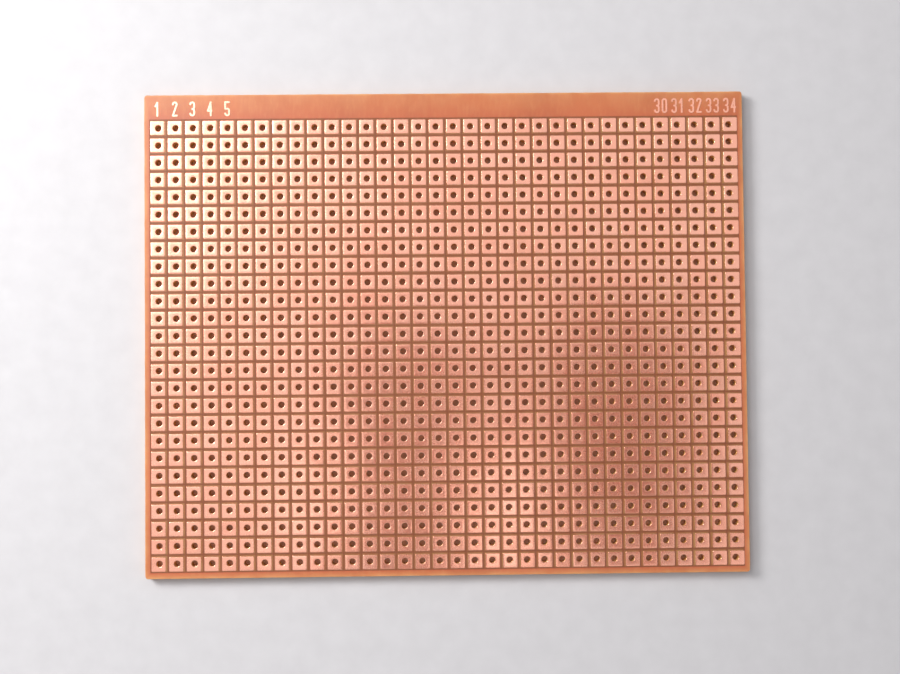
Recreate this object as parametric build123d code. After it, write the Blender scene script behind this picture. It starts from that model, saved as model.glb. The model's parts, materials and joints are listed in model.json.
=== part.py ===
from build123d import *
import os

# Single-sided prototype board: a phenolic paper laminate drilled with a square grid of lead
# holes, and on its upper side one square island of etched copper foil round every hole.
# The board lies flat: X runs along the rows of holes, Y runs up the columns towards the marking
# strip, and Z = 0 is the bare underside. The origin is below the middle of the board.
# All sizes are in millimetres.

# Laminate
BOARD_WIDTH = 88.0
BOARD_DEPTH = 70.6
BOARD_THICKNESS = 1.6
BOARD_CORNER_RADIUS = 0.4

# Lead holes. The grid holds as many columns and rows as the margins leave room for. It stands
# centred between the sides and starts from the foot, and what is left over widens the head.
HOLE_PITCH = 2.54
HOLE_DIAMETER = 0.9
LEAST_SIDE_MARGIN = 2.0
FOOT_MARGIN = 2.2
LEAST_HEAD_MARGIN = 4.8

# Copper foil. The artwork is etched a little larger than the drilled grid and a little to one
# side of it, so the holes lie left of the middle of the pads at the right-hand side.
FOIL_THICKNESS = 0.035
PAD_GAP = 0.44
PAD_CORNER_RADIUS = 0.12
ARTWORK_GROWTH_X = 0.0043
ARTWORK_GROWTH_Y = 0.002
ARTWORK_SHIFT_X = 0.05
ARTWORK_SHIFT_Y = -0.03

# Column numbers in the marking strip, above the first and the last few columns
NUMBERED_COLUMNS = 5
NUMBER_HEIGHT = 2.2
NUMBER_STROKE = 0.26
NUMBER_STANDOFF = 0.65
NUMBER_GAP = 0.6
DIGIT_GAP = 0.3

# Worked out from the sizes above
columns = int((BOARD_WIDTH - 2 * LEAST_SIDE_MARGIN) / HOLE_PITCH) + 1
rows = int((BOARD_DEPTH - FOOT_MARGIN - LEAST_HEAD_MARGIN) / HOLE_PITCH) + 1
first_hole_x = -(columns - 1) * HOLE_PITCH / 2
last_hole_y = -BOARD_DEPTH / 2 + FOOT_MARGIN
first_hole_y = last_hole_y + (rows - 1) * HOLE_PITCH
grid_middle_y = (first_hole_y + last_hole_y) / 2
pad_width = HOLE_PITCH * (1 + ARTWORK_GROWTH_X) - PAD_GAP
pad_depth = HOLE_PITCH * (1 + ARTWORK_GROWTH_Y) - PAD_GAP
digit_width = (HOLE_PITCH - NUMBER_GAP - DIGIT_GAP) / 2


def hole_centre(column, row):
    """Centre of a lead hole. Column 0 is at the left, row 0 is next to the marking strip."""
    return (first_hole_x + column * HOLE_PITCH, first_hole_y - row * HOLE_PITCH)


def artwork_point(x, y):
    """Where the etched artwork puts what belongs at x, y on the drilled grid."""
    art_x = x * (1 + ARTWORK_GROWTH_X) + ARTWORK_SHIFT_X
    art_y = grid_middle_y + (y - grid_middle_y) * (1 + ARTWORK_GROWTH_Y) + ARTWORK_SHIFT_Y
    return (art_x, art_y)


def hole_outline(column, row):
    """Rim of a lead hole, at the height of the origin."""
    x, y = hole_centre(column, row)
    return Pos(x, y) * Wire.make_circle(HOLE_DIAMETER / 2)


def laminate():
    """The drilled sheet that carries the copper."""
    edge = RectangleRounded(BOARD_WIDTH, BOARD_DEPTH, BOARD_CORNER_RADIUS).wire()
    holes = [hole_outline(column, row) for row in range(rows) for column in range(columns)]
    return Solid.extrude(Face(edge, holes), (0, 0, BOARD_THICKNESS))


def pad(column, row):
    """One square island of foil with the lead hole through it, as a flat face."""
    edge = RectangleRounded(pad_width, pad_depth, PAD_CORNER_RADIUS).wire()
    place = artwork_point(*hole_centre(column, row))
    return Face(Pos(*place) * edge, [hole_outline(column, row)])


def foil(faces):
    """Etched foil of the given outlines, lying on the upper side of the laminate."""
    raised = [Pos(0, 0, BOARD_THICKNESS) * face for face in faces]
    return Compound([Solid.extrude(face, (0, 0, FOIL_THICKNESS)) for face in raised])


def pad_row(row):
    """The separate pads of one row, from left to right."""
    return foil([pad(column, row) for column in range(columns)])


def digit_lines(digit, width, height):
    """Centre lines of the strokes of a digit, in a box that starts at the origin."""
    radius = width / 2
    middle = height / 2
    top_bend = CenterArc((radius, height - radius), radius, 0, 180)
    foot_bend = CenterArc((radius, radius), radius, 180, 180)
    lower_bowl = [
        CenterArc((radius, middle - radius), radius, 0, 90),
        Line((width, middle - radius), (width, radius)),
        foot_bend,
    ]
    if digit == "0":
        left_side = Line((0, radius), (0, height - radius))
        right_side = Line((width, radius), (width, height - radius))
        return [top_bend, left_side, right_side, foot_bend]
    if digit == "1":
        stem = Line((radius, 0), (radius, height))
        flag = Line((radius, height), (0, height - width))
        return [stem, flag]
    if digit == "2":
        slope = Line((width, height - radius), (0, 0))
        base = Line((0, 0), (width, 0))
        return [top_bend, slope, base]
    if digit == "3":
        upper_side = Line((width, height - radius), (width, middle + radius))
        upper_bowl = CenterArc((radius, middle + radius), radius, 270, 90)
        return [top_bend, upper_side, upper_bowl] + lower_bowl
    if digit == "4":
        stem_x = 0.75 * width
        bar_y = 0.35 * height
        stem = Line((stem_x, 0), (stem_x, height))
        slope = Line((stem_x, height), (0, bar_y))
        bar = Line((0, bar_y), (width, bar_y))
        return [stem, slope, bar]
    bar = Line((width, height), (0, height))
    stem = Line((0, height), (0, middle))
    shelf = Line((0, middle), (radius, middle))
    return [bar, stem, shelf] + lower_bowl


def digit_face(digit):
    """A digit as a flat face, with its strokes rounded off."""
    line_width = digit_width - NUMBER_STROKE
    line_height = NUMBER_HEIGHT - NUMBER_STROKE
    strokes = [SlotArc(line, NUMBER_STROKE) for line in digit_lines(digit, line_width, line_height)]
    face = (Sketch() + strokes).face()
    return Pos(NUMBER_STROKE / 2, NUMBER_STROKE / 2) * face


def column_number(column):
    """The number of a column, centred above its first pad."""
    digits = str(column + 1)
    step = digit_width + DIGIT_GAP
    width = step * len(digits) - DIGIT_GAP
    x, y = artwork_point(*hole_centre(column, 0))
    base_y = y + pad_depth / 2 + NUMBER_STANDOFF
    left_x = x - width / 2
    return [Pos(left_x + place * step, base_y) * digit_face(digit) for place, digit in enumerate(digits)]


def column_numbers():
    """Numbers above the first and the last few columns."""
    left_group = range(NUMBERED_COLUMNS)
    right_group = range(columns - NUMBERED_COLUMNS, columns)
    return foil([face for column in [*left_group, *right_group] for face in column_number(column)])


os.makedirs("parts", exist_ok=True)
export_step(laminate(), "parts/laminate.step")
for row in range(rows):
    export_step(pad_row(row), f"parts/pads_row_{row + 1:02d}.step")
export_step(column_numbers(), "parts/column_numbers.step")
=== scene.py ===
import json
import math

import bpy
import numpy as np
from mathutils import Matrix, Vector


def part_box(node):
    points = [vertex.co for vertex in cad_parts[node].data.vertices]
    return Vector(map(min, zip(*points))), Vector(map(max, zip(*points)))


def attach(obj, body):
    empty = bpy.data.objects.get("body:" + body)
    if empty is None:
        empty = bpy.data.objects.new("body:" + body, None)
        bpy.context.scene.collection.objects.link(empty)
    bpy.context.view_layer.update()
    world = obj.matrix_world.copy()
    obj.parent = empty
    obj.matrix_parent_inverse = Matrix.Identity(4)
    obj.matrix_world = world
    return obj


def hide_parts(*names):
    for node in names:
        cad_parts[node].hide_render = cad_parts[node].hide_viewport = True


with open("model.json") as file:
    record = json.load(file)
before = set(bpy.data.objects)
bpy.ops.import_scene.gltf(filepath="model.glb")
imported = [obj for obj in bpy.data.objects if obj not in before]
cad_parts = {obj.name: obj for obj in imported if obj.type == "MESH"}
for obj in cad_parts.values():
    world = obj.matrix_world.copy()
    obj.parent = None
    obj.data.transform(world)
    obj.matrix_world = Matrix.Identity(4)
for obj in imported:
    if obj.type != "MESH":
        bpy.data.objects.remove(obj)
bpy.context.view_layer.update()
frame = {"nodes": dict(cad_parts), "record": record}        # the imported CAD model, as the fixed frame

# A single-sided prototype board lying on a pale surface, copper side up. X runs along the rows of
# holes, Y up the columns towards the marking strip, and Z out of the copper side. Metres.

MM = 0.001
rng = np.random.default_rng(7)

# Sizes that the frame gives
record = frame["record"]
mounts = {mount["name"]: mount for mount in record["mounts"]}
first_hole = np.array(mounts["first_lead_hole"]["pos_m"])
last_hole = np.array(mounts["last_lead_hole"]["pos_m"])
hole_radius = mounts["first_lead_hole"]["dims"]["r_mm"] * MM
board_low, board_high = (np.array(corner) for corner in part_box("laminate"))
row_nodes = sorted(name for name in frame["nodes"] if name.startswith("pads_row_"))

# The grid of lead holes
PITCH = 2.54 * MM
PAD_GAP = 0.44 * MM
rows = len(row_nodes)
columns = int(round((last_hole[0] - first_hole[0]) / PITCH)) + 1
sheet_top = board_high[2]


def new_mesh(name, verts, faces, material, smooth=True):
    """A mesh object of quads or of mixed faces, in the row frame."""
    mesh = bpy.data.meshes.new(name)
    mesh.from_pydata([tuple(v) for v in verts], [], [tuple(f) for f in faces])
    mesh.validate()
    mesh.polygons.foreach_set("use_smooth", [smooth] * len(mesh.polygons))
    mesh.materials.append(material)
    mesh.update()
    piece = bpy.data.objects.new(name, mesh)
    bpy.context.collection.objects.link(piece)
    return piece


def point_attribute(piece, name, values):
    """A number on every vertex, for the material to read."""
    attribute = piece.data.attributes.new(name, "FLOAT", "POINT")
    attribute.data.foreach_set("value", np.asarray(values, np.float32))


# ---------------------------------------------------------------------------------------------
# Node helpers
# ---------------------------------------------------------------------------------------------

class Nodes:
    """A material under construction: short calls that add shader nodes and link them."""

    def __init__(self, name):
        self.material = bpy.data.materials.new(name)
        self.material.use_nodes = True
        self.tree = self.material.node_tree
        self.shader = self.tree.nodes["Principled BSDF"]
        self.place = self.add("ShaderNodeTexCoord").outputs["Object"]

    def add(self, kind, **settings):
        node = self.tree.nodes.new(kind)
        for key, value in settings.items():
            setattr(node, key, value)
        return node

    def feed(self, socket, value):
        """Links an output to a socket, or sets the socket to a plain value."""
        if isinstance(value, bpy.types.NodeSocket):
            self.tree.links.new(value, socket)
        else:
            socket.default_value = value

    def math(self, operation, a, b=0.0, clamp=False):
        node = self.add("ShaderNodeMath", operation=operation, use_clamp=clamp)
        self.feed(node.inputs[0], a)
        self.feed(node.inputs[1], b)
        return node.outputs[0]

    def attribute(self, name):
        return self.add("ShaderNodeAttribute", attribute_name=name).outputs["Fac"]

    def mapping(self, scale=(1, 1, 1), offset=(0, 0, 0), turn=0.0):
        node = self.add("ShaderNodeMapping")
        self.feed(node.inputs["Vector"], self.place)
        node.inputs["Scale"].default_value = scale
        node.inputs["Location"].default_value = offset
        node.inputs["Rotation"].default_value = (0, 0, turn)
        return node.outputs[0]

    def noise(self, size, detail=2.0, rough=0.5, scale=(1, 1, 1), offset=(0, 0, 0), turn=0.0):
        """Noise of 0 to 1 whose blotches measure about size, in metres."""
        node = self.add("ShaderNodeTexNoise")
        self.feed(node.inputs["Vector"], self.mapping(scale, offset, turn))
        node.inputs["Scale"].default_value = 1.0 / size
        node.inputs["Detail"].default_value = detail
        node.inputs["Roughness"].default_value = rough
        return node.outputs["Fac"]

    def ramp(self, value, low, high, to_low=0.0, to_high=1.0):
        """Maps low..high to to_low..to_high, held flat beyond."""
        node = self.add("ShaderNodeMapRange", clamp=True)
        self.feed(node.inputs["Value"], value)
        node.inputs["From Min"].default_value = low
        node.inputs["From Max"].default_value = high
        node.inputs["To Min"].default_value = to_low
        node.inputs["To Max"].default_value = to_high
        return node.outputs["Result"]

    def mix(self, share, a, b):
        """Colour a, turning to colour b as share goes from 0 to 1."""
        node = self.add("ShaderNodeMix", data_type="RGBA")
        sockets = {socket.identifier: socket for socket in node.inputs}
        self.feed(sockets["Factor_Float"], share)
        self.feed(sockets["A_Color"], a if isinstance(a, bpy.types.NodeSocket) else (*a, 1))
        self.feed(sockets["B_Color"], b if isinstance(b, bpy.types.NodeSocket) else (*b, 1))
        return {socket.identifier: socket for socket in node.outputs}["Result_Color"]

    def bump(self, layers):
        """Stacks height maps into one normal. A layer is a height output and a depth in metres."""
        normal = None
        for height, depth in layers:
            node = self.add("ShaderNodeBump")
            node.inputs["Distance"].default_value = depth
            node.inputs["Strength"].default_value = 1.0
            self.feed(node.inputs["Height"], height)
            if normal is not None:
                self.feed(node.inputs["Normal"], normal)
            normal = node.outputs["Normal"]
        self.feed(self.shader.inputs["Normal"], normal)

    def finish(self, **sockets):
        for name, value in sockets.items():
            self.feed(self.shader.inputs[name.replace("_", " ")], value)
        return self.material


# ---------------------------------------------------------------------------------------------
# Materials
# ---------------------------------------------------------------------------------------------

def copper_material():
    """Bare etched copper foil, scrubbed before etching and dulled by a thin film of flux."""
    nodes = Nodes("copper_foil")
    tint = nodes.attribute("tint")
    rim = nodes.attribute("rim")
    cloud = nodes.noise(14 * MM, detail=3.0)
    stain = nodes.noise(3.2 * MM, detail=4.0, rough=0.6, offset=(3, 1, 0))
    speck = nodes.noise(0.22 * MM, detail=3.0, rough=0.7)
    scrub = nodes.noise(0.09 * MM, detail=2.0, scale=(0.12, 1, 1), turn=math.radians(8))

    fresh = nodes.mix(nodes.ramp(cloud, 0.35, 0.65), (0.95, 0.43, 0.30), (0.91, 0.385, 0.26))
    tarnish = nodes.ramp(stain, 0.50, 0.72, 0.0, 0.55)
    colour = nodes.mix(tarnish, fresh, (0.66, 0.29, 0.19))
    colour = nodes.mix(nodes.ramp(speck, 0.60, 0.78, 0.0, 0.35), colour, (0.50, 0.22, 0.15))
    colour = nodes.mix(nodes.ramp(tint, -1.0, 1.0, 0.0, 0.22), colour, (0.95, 0.56, 0.42))
    # Darker towards the pads' etched edges and down into the holes: painted shade
    colour = nodes.mix(nodes.ramp(rim, 0.0, 1.0, 0.0, 0.6), colour, (0.40, 0.17, 0.11))

    stained = nodes.ramp(stain, 0.3, 0.75, 0.21, 0.30)
    speckled = nodes.ramp(speck, 0.3, 0.8, -0.03, 0.06)
    roughness = nodes.math("ADD", stained, speckled)
    nodes.bump([(scrub, 0.004 * MM), (nodes.noise(1.6 * MM, detail=2.0), 0.02 * MM)])
    nodes.shader.inputs["Coat Weight"].default_value = 0.8
    nodes.shader.inputs["Coat IOR"].default_value = 1.5
    nodes.shader.inputs["Coat Roughness"].default_value = 0.28
    return nodes.finish(Base_Color=colour, Roughness=roughness, Metallic=0.9)


def laminate_material():
    """Phenolic paper: brown resin with pale paper fibres, etched to a fine tooth on top."""
    nodes = Nodes("phenolic_laminate")
    edge = nodes.attribute("edge")
    shaded_groove = nodes.attribute("shaded_groove")
    cloud = nodes.noise(9 * MM, detail=3.0)
    fibre = nodes.noise(0.5 * MM, detail=4.0, rough=0.65, scale=(1, 0.25, 1))
    speck = nodes.noise(0.12 * MM, detail=2.0)
    layers = nodes.noise(0.13 * MM, detail=2.0, scale=(0.04, 0.04, 1))

    colour = nodes.mix(nodes.ramp(cloud, 0.35, 0.65), (0.49, 0.114, 0.037), (0.43, 0.096, 0.031))
    colour = nodes.mix(nodes.ramp(fibre, 0.48, 0.72, 0.0, 0.4), colour, (0.53, 0.175, 0.062))
    colour = nodes.mix(nodes.ramp(speck, 0.62, 0.75, 0.0, 0.3), colour, (0.30, 0.10, 0.04))
    # The pale colour of cut laminate, for the sheared edge and the holes' walls; on the holes' walls it
    # is also painted glow of light through the resin
    cut = nodes.mix(nodes.ramp(layers, 0.4, 0.6), (0.75, 0.42, 0.15), (0.60, 0.28, 0.085))
    # Between the pads the resin is darker: painted shade
    colour = nodes.mix(nodes.math("MULTIPLY", shaded_groove, 0.85), colour, (0.152, 0.042, 0.018))
    colour = nodes.mix(edge, colour, cut)

    woven = nodes.ramp(fibre, 0.3, 0.7, 0.36, 0.48)
    roughness = nodes.math("ADD", woven, nodes.math("MULTIPLY", edge, 0.25))
    nodes.bump([(fibre, 0.010 * MM), (speck, 0.003 * MM)])
    nodes.shader.inputs["Coat Roughness"].default_value = 0.30
    nodes.shader.inputs["Specular IOR Level"].default_value = 0.35
    nodes.shader.inputs["Subsurface Weight"].default_value = 0.15
    nodes.shader.inputs["Subsurface Radius"].default_value = (1.0, 0.35, 0.12)
    nodes.shader.inputs["Subsurface Scale"].default_value = 0.4 * MM
    gloss = nodes.math("SUBTRACT", 0.55, nodes.math("MULTIPLY", shaded_groove, 0.5))
    return nodes.finish(Base_Color=colour, Roughness=roughness, Coat_Weight=gloss)


copper = copper_material()
phenolic = laminate_material()


# ---------------------------------------------------------------------------------------------
# The drilled sheet
# ---------------------------------------------------------------------------------------------

SPOKES = 24                       # sides of a hole, and grid lines' worth of points round its cell
PER_SIDE = SPOKES // 4
CORNER_RADIUS = 0.4 * MM
EDGE_BEVEL = 0.07 * MM
EDGE_CUT = 0.65                   # how far the sheared edge takes the holes' walls' pale colour
EDGE_HAZE = 0.5                   # how far the resin pales along the sheared edge
EDGE_HAZE_WIDTH = 0.75 * MM
MARGIN_BLEND = 0.1 * MM           # over this width the painted shade of the grooves gives way to the margin
EDGE_ROUGHNESS = 0.035 * MM       # how far the sheared edge wanders inwards
BREAKOUT = 0.06 * MM              # how far the underside chips round each hole
CHIP_CUT = 0.35                   # how far the outer rim of that chipping takes the pale colour
SHEET_SHARP = math.radians(35)    # edges of the sheet that turn more than this stay sharp


def cell_lines(first, count):
    """Lines across the grid: the cells' own edges, and where spokes from the holes meet them."""
    spokes = np.tan(np.radians(np.arange(PER_SIDE) * 90 / PER_SIDE - 45)) * PITCH / 2
    lines = (first + np.arange(count)[:, None] * PITCH + spokes).ravel()
    return np.append(lines, first + (count - 0.5) * PITCH)


def with_margins(lines, low, high):
    """Adds the board's edges to the lines, and lines close inside them for the rounded corners."""
    inside = np.array([0, 0.4, 1.0]) * CORNER_RADIUS
    lines = np.concatenate([[lines[0] - MARGIN_BLEND], lines, [lines[-1] + MARGIN_BLEND]])
    return np.concatenate([low + inside, lines, (high - inside)[::-1]]), len(inside) + 1


def rounded(points, inset=0.0):
    """Draws the corners of the rectangle in to arcs, and the whole outline in by inset."""
    inner_low = board_low[:2] + CORNER_RADIUS
    inner_high = board_high[:2] - CORNER_RADIUS
    anchor = np.clip(points, inner_low, inner_high)
    arm = points - anchor
    reach = np.abs(arm).max(axis=1)
    length = np.linalg.norm(arm, axis=1)
    safe = np.where(length > 0, length, 1)
    outer = reach > CORNER_RADIUS * 0.999
    reach = np.where(outer, reach - inset, reach)
    return anchor + arm * (reach / safe)[:, None]


def build_sheet():
    """The laminate: two drilled faces, the walls of the holes and the sheared edge round it all."""
    first_x, last_y = first_hole[0], last_hole[1]
    x_lines, x_start = with_margins(cell_lines(first_x, columns), board_low[0], board_high[0])
    y_lines, y_start = with_margins(cell_lines(last_y, rows), board_low[1], board_high[1])
    nx, ny = len(x_lines), len(y_lines)
    grid = np.stack(np.meshgrid(x_lines, y_lines, indexing="ij"), axis=-1).reshape(-1, 2)
    on_rim = np.zeros((nx, ny), bool)
    on_rim[[0, -1], :] = on_rim[:, [0, -1]] = True
    flat = rounded(grid, EDGE_BEVEL * on_rim.ravel())
    index = np.arange(nx * ny).reshape(nx, ny)

    def level(points, z):
        return np.column_stack([points, np.full(len(points), z)])

    verts = [level(flat, sheet_top), level(flat, board_low[2])]
    top, bottom = index, index + nx * ny
    faces = []

    # The margins: every grid square outside the drilled field
    squares = np.ones((nx - 1, ny - 1), bool)
    squares[x_start:x_start + columns * PER_SIDE, y_start:y_start + rows * PER_SIDE] = False
    i, j = np.nonzero(squares)
    around = (i, j), (i + 1, j), (i + 1, j + 1), (i, j + 1)
    faces.append(np.column_stack([top[corner] for corner in around]))
    faces.append(np.column_stack([bottom[around[k]] for k in (0, 3, 2, 1)]))

    # The cells: from each cell's own edge in to its hole, on both faces, and down the hole's wall
    turn = np.radians(np.arange(SPOKES) * 360 / SPOKES - 45)
    circle = np.column_stack([np.cos(turn), np.sin(turn)])
    ramp = np.arange(PER_SIDE)
    away_i = np.concatenate([0 * ramp + PER_SIDE, PER_SIDE - ramp, 0 * ramp, ramp])
    away_j = np.concatenate([ramp, 0 * ramp + PER_SIDE, PER_SIDE - ramp, 0 * ramp])
    low = board_low[2]
    # Each ring's widening, which differs from spoke to spoke, and its height
    ring_sizes = [(0.0, sheet_top), (0.0, low + BREAKOUT), (BREAKOUT, low)]
    cells = [(c, r) for c in range(columns) for r in range(rows)]
    centres = np.array([(first_x + c * PITCH, last_y + r * PITCH) for c, r in cells])
    chips = rng.uniform(0.5, 1.6, (len(cells), SPOKES))
    count = 2 * nx * ny
    rings = []
    for extra, z in ring_sizes:
        radius = hole_radius + extra * chips
        points = centres[:, None, :] + circle[None] * radius[..., None]
        verts.append(level(points.reshape(-1, 2), z))
        rings.append(count + np.arange(len(cells) * SPOKES).reshape(len(cells), SPOKES))
        count += len(cells) * SPOKES
    base_i = np.array([x_start + c * PER_SIDE for c, _ in cells])[:, None] + away_i
    base_j = np.array([y_start + r * PER_SIDE for _, r in cells])[:, None] + away_j
    loops = [top[base_i, base_j], *rings, bottom[base_i, base_j]]
    for outer, inner in zip(loops, loops[1:]):
        next_outer, next_inner = np.roll(outer, -1, axis=1), np.roll(inner, -1, axis=1)
        faces.append(np.stack([outer, next_outer, next_inner, inner], axis=-1).reshape(-1, 4))

    # The sheared edge, level by level between the two faces
    rim = np.concatenate([index[:-1, 0], index[-1, :-1], index[:0:-1, -1], index[0, :0:-1]])
    thickness = sheet_top - board_low[2]
    depths = [EDGE_BEVEL, *(thickness * np.arange(1, 5) / 5), thickness - EDGE_BEVEL]
    wander = np.abs(np.convolve(rng.normal(size=len(rim) + 8), np.ones(9) / 9, "valid"))
    walls = [top[tuple(np.unravel_index(rim, (nx, ny)))]]
    for depth in depths:
        rough = EDGE_ROUGHNESS * (wander + 0.5 * rng.random(len(rim)))
        points = rounded(grid[rim], rough)
        verts.append(level(points, sheet_top - depth))
        walls.append(count + np.arange(len(rim)))
        count += len(rim)
    walls.append(bottom[tuple(np.unravel_index(rim, (nx, ny)))])
    for upper, lower in zip(walls, walls[1:]):
        faces.append(np.column_stack([upper, lower, np.roll(lower, -1), np.roll(upper, -1)]))

    verts, faces = np.vstack(verts), np.vstack(faces)
    used, packed = np.unique(faces, return_inverse=True)
    packed = packed.reshape(faces.shape)
    sheet = new_mesh("laminate_sheet", verts[used], packed, phenolic)
    sheet.data.set_sharp_from_angle(angle=SHEET_SHARP)
    inset = np.minimum(verts[:, :2] - board_low[:2], board_high[:2] - verts[:, :2]).min(axis=1)
    is_edge = EDGE_HAZE * np.clip(1 - inset / EDGE_HAZE_WIDTH, 0, 1)
    is_edge[np.concatenate(walls)] = EDGE_CUT
    # The holes' walls take the pale cut colour in full: paler cut paper, and painted glow of light
    # through the resin
    for ring, share in zip(rings, (1.0, 1.0, CHIP_CUT)):
        is_edge[ring] = share
    point_attribute(sheet, "edge", is_edge[used])
    field_low = np.array([first_hole[0], last_hole[1]]) - PITCH / 2
    field_high = np.array([last_hole[0], first_hole[1]]) + PITCH / 2
    inside = ((verts[:, :2] > field_low - 1e-6) & (verts[:, :2] < field_high + 1e-6)).all(axis=1)
    # The drilled field's top gets the painted shade of the grooves
    point_attribute(sheet, "shaded_groove", (inside & (verts[:, 2] > sheet_top - 1e-6))[used])
    return sheet


sheet = build_sheet()
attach(sheet, "root")
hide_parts("laminate")


# ---------------------------------------------------------------------------------------------
# The copper
# ---------------------------------------------------------------------------------------------

PAD_SIDES = 32
PAD_CORNER = 0.14 * MM
CORNER_STEPS = 3                  # segments of a pad's corner; the rest of a quarter is straight
LIP = 0.10 * MM                   # over this width the foil dips towards its hole
WAVER = 0.012 * MM                # how unevenly a pad's edge is etched
SHRINK = 0.02 * MM                # how much smaller than its artwork a pad may be etched
PAD_SHARP = math.radians(80)      # only edges that turn more than this stay sharp


def pad_outline(width, depth):
    """The outline of a pad about its middle, starting at the lower right corner, anticlockwise."""
    half = np.array([width, depth]) / 2 - PAD_CORNER
    per_side = PAD_SIDES // 4
    points = []
    for quarter in range(4):
        turn = math.radians(-90 + 90 * quarter)
        corner = half * [(1, -1), (1, 1), (-1, 1), (-1, -1)][quarter]
        bends = turn + np.radians(90) * np.arange(CORNER_STEPS + 1) / CORNER_STEPS
        arc = corner + PAD_CORNER * np.column_stack([np.cos(bends), np.sin(bends)])
        after = half * [(1, 1), (-1, 1), (-1, -1), (1, -1)][quarter]
        goal = after + PAD_CORNER * np.array([math.cos(bends[-1]), math.sin(bends[-1])])
        straight = per_side - CORNER_STEPS
        share = np.arange(1, straight)[:, None] / straight
        points += [arc, arc[-1] + (goal - arc[-1]) * share]
    return np.vstack(points)


def build_pads(node, row):
    """One row of pads: foil drawn down into each hole, with etched edges that slope and waver."""
    low, high = (np.array(corner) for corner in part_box(node))
    art_pitch = (high[0] - low[0] + PAD_GAP) / columns
    width, depth = art_pitch - PAD_GAP, high[1] - low[1]
    outline = pad_outline(width, depth)
    top = high[2]
    start = math.atan2(outline[0, 1], outline[0, 0])
    turn = start + np.radians(360) * np.arange(PAD_SIDES) / PAD_SIDES
    circle = np.column_stack([np.cos(turn), np.sin(turn)])
    # From the hole outwards: how far along, in radius or towards the outline, height and darkening,
    # which is painted shade
    hole_rings = [
        (-0.002 * MM, sheet_top - 0.03 * MM, 1.0),
        (0.0, top - 0.026 * MM, 1.0),
        (0.25 * LIP, top - 0.012 * MM, 0.8),
        (0.6 * LIP, top - 0.003 * MM, 0.35),
        (LIP, top, 0.1),
    ]
    edge_rings = [
        (0.30 * MM, top, 0.0),
        (0.05 * MM, top, 0.15),
        (0.022 * MM, top - 0.004 * MM, 0.5),
        (0.008 * MM, top - 0.018 * MM, 0.9),
        (0.0, sheet_top, 1.0),
    ]
    verts, rim, tint = [], [], []
    outward = outline / np.linalg.norm(outline, axis=1)[:, None]
    for column in range(columns):
        hole = np.array([first_hole[0] + column * PITCH, first_hole[1] - row * PITCH])
        middle = np.array([low[0] + width / 2 + column * art_pitch, (low[1] + high[1]) / 2])
        waver = np.convolve(rng.normal(size=PAD_SIDES + 2), [0.25, 0.5, 0.25], "valid") * WAVER
        shrink = rng.uniform(0, SHRINK)
        ragged = outline - outward * np.abs(shrink + waver)[:, None]
        shade = rng.normal()
        for extra, z, dark in hole_rings:
            ring = hole + circle * (hole_radius + extra)
            verts.append(np.column_stack([ring, np.full(PAD_SIDES, z)]))
            rim.append(np.full(PAD_SIDES, dark))
        for inset, z, dark in edge_rings:
            ring = middle + ragged * (1 - inset / np.abs(ragged).max(axis=1))[:, None]
            verts.append(np.column_stack([ring, np.full(PAD_SIDES, z)]))
            rim.append(np.full(PAD_SIDES, dark))
        tint.append(np.full(PAD_SIDES * (len(hole_rings) + len(edge_rings)), shade))
    rings = len(hole_rings) + len(edge_rings)
    index = np.arange(columns * rings * PAD_SIDES).reshape(columns, rings, PAD_SIDES)
    # Each ring joins the next, and the last one joins the first as the pad's underside
    outer = np.roll(index, -1, axis=1)
    next_index = np.roll(index, -1, axis=2)
    next_outer = np.roll(outer, -1, axis=2)
    faces = np.stack([index, outer, next_outer, next_index], axis=-1)
    pads = new_mesh(node + "_foil", np.vstack(verts), faces.reshape(-1, 4), copper)
    pads.data.set_sharp_from_angle(angle=PAD_SHARP)
    point_attribute(pads, "rim", np.concatenate(rim))
    point_attribute(pads, "tint", np.concatenate(tint))
    return pads


for row, node in enumerate(row_nodes):
    pads = build_pads(node, row)
    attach(pads, "root")
    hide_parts(node)

numbers = frame["nodes"]["column_numbers"]
numbers.data.materials.clear()
numbers.data.materials.append(copper)


# ---------------------------------------------------------------------------------------------
# Floor, light and camera
# ---------------------------------------------------------------------------------------------

FLOOR_HALF = 0.9                  # from the board's middle to the floor's edge, in metres
GLOW_PATCH_INSET = 1.2 * MM            # how far the patch of painted glow on the floor stays inside the board's edge


def build_floor():
    """A plain pale surface, and under the board a patch of painted warm glow, for the light that comes
    through the resin.
    """
    nodes = Nodes("pale_floor")
    grain = nodes.noise(3 * MM, detail=4.0)
    colour = nodes.mix(nodes.ramp(grain, 0.3, 0.7), (0.545, 0.53, 0.54), (0.575, 0.56, 0.57))
    material = nodes.finish(Base_Color=colour, Roughness=0.9)
    # A warm colour on the floor under the board: painted glow of light through the resin
    under = Nodes("painted_glow_under_board").finish(Base_Color=(0.92, 0.58, 0.42, 1), Roughness=0.9)
    low = board_low + GLOW_PATCH_INSET
    high = board_high - GLOW_PATCH_INSET
    x_lines = (-FLOOR_HALF, low[0], high[0], FLOOR_HALF)
    y_lines = (-FLOOR_HALF, low[1], high[1], FLOOR_HALF)
    corners = [(x, y, 0) for x in x_lines for y in y_lines]
    squares = [4 * i + j for i in range(3) for j in range(3)]
    faces = [(k, k + 4, k + 5, k + 1) for k in squares]
    middle = faces.pop(4)
    new_mesh("floor", corners, faces, material, smooth=False)
    new_mesh("painted_glow_under_board", [corners[i] for i in middle], [(0, 1, 2, 3)], under, smooth=False)


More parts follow.
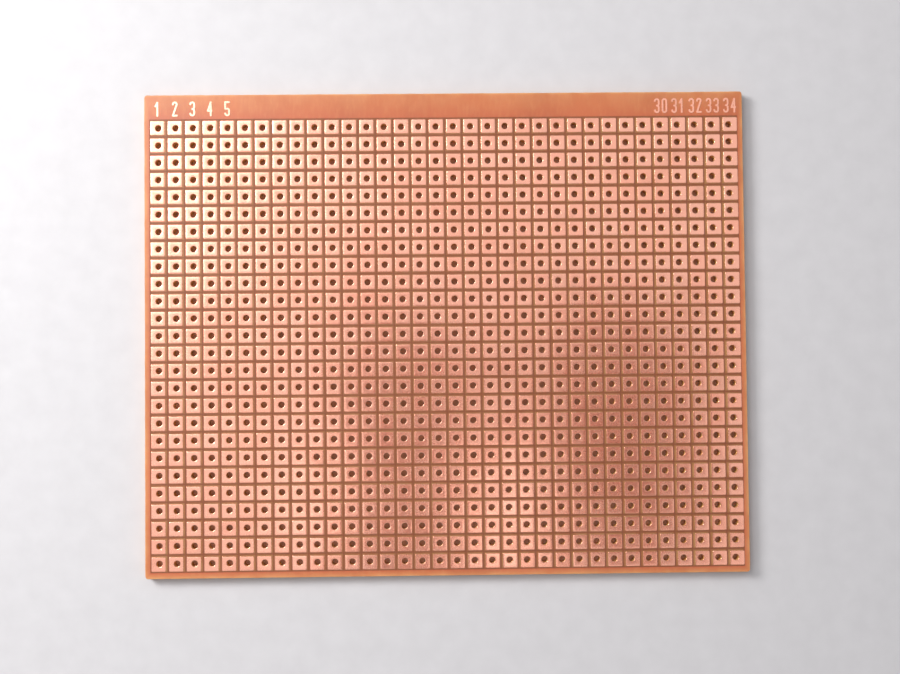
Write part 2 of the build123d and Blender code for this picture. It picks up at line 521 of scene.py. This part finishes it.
def build_world(lighting, seen):
    """A soft even studio: it lights with one strength, and eyes and reflections see the other."""
    world = bpy.data.worlds.new("soft_studio")
    world.use_nodes = True
    tree = world.node_tree
    background = tree.nodes["Background"]
    background.inputs["Color"].default_value = (0.97, 0.97, 1.0, 1)
    path = tree.nodes.new("ShaderNodeLightPath")
    looks = path.outputs["Is Camera Ray"]
    for name in ("Is Glossy Ray", "Is Transmission Ray"):
        either = tree.nodes.new("ShaderNodeMath")
        either.operation = "MAXIMUM"
        tree.links.new(looks, either.inputs[0])
        tree.links.new(path.outputs[name], either.inputs[1])
        looks = either.outputs[0]
    strength = tree.nodes.new("ShaderNodeMapRange")
    strength.inputs["To Min"].default_value = lighting
    strength.inputs["To Max"].default_value = seen
    tree.links.new(looks, strength.inputs["Value"])
    tree.links.new(strength.outputs["Result"], background.inputs["Strength"])
    bpy.context.scene.world = world


def build_lamp(name, place, aim, size, power):
    """A softbox that faces the point aim. Its power is in watts."""
    lamp = bpy.data.lights.new(name, "AREA")
    lamp.shape = "RECTANGLE"
    lamp.size, lamp.size_y = size
    lamp.energy = power
    holder = bpy.data.objects.new(name, lamp)
    bpy.context.collection.objects.link(holder)
    away = Vector(place) - Vector(aim)
    holder.location = place
    holder.rotation_euler = away.to_track_quat("Z", "Y").to_euler()
    holder.visible_camera = False


def build_flag(name, place, size):
    """A dark card overhead that only reflections see, as the hands that hold a camera are."""
    nodes = Nodes(name)
    material = nodes.finish(Base_Color=(0.42, 0.16, 0.09, 1), Roughness=0.9)
    x, y, z = place
    half_x, half_y = size[0] / 2, size[1] / 2
    around = [(-1, -1), (1, -1), (1, 1), (-1, 1)]
    corners = [(x + i * half_x, y + j * half_y, z) for i, j in around]
    flag = new_mesh(name, corners, [(0, 1, 2, 3)], material, smooth=False)
    flag.visible_camera = False
    flag.visible_diffuse = False
    flag.visible_shadow = False
    flag.visible_transmission = False


def build_camera():
    """A camera that looks straight down on the board, a little off square as a hand holds it."""
    camera = bpy.data.cameras.new("camera")
    camera.lens = 48
    camera.sensor_width = 36
    camera.clip_start = 0.01
    holder = bpy.data.objects.new("camera", camera)
    bpy.context.collection.objects.link(holder)
    turn = (
        Matrix.Rotation(math.radians(0.561), 4, "Z")
        @ Matrix.Rotation(math.radians(0.808), 4, "Y")
        @ Matrix.Rotation(math.radians(-1.785), 4, "X")
    )
    board_from_camera = Matrix.Translation((-0.553 * MM, 0.540 * MM, -177.116 * MM)) @ turn
    holder.matrix_world = board_from_camera.inverted()
    bpy.context.scene.camera = holder


CARD_HEIGHT = 0.09                # of the dark cards over the board, in metres

build_floor()
build_world(lighting=0.36, seen=0.60)
build_lamp("ceiling", place=(0, 0, 0.9), aim=(0, 0, 0), size=(1.3, 1.3), power=2.1)
build_lamp("window", place=(-0.20, 0.11, 0.17), aim=(0, 0, 0), size=(0.10, 0.10), power=0.80)
build_lamp("veil", place=(-0.27, 0.20, 0.50), aim=(0, 0, 0), size=(0.30, 0.30), power=1.10)
build_flag("flag_near", place=(-0.008, -0.030, CARD_HEIGHT), size=(0.024, 0.070))
build_flag("flag_far", place=(0.039, -0.022, CARD_HEIGHT), size=(0.030, 0.058))

# The brighter gaps beside the dark cards
for name, x, y, size, power in (
    ("gap_near", -0.029, -0.032, (0.010, 0.022), 0.0009),
    ("gap_far", 0.012, -0.038, (0.013, 0.026), 0.0012),
):
    build_lamp(name, place=(x, y, CARD_HEIGHT), aim=(x, y, 0), size=size, power=power)
build_camera()

scene = bpy.context.scene
scene.view_settings.view_transform = "Standard"
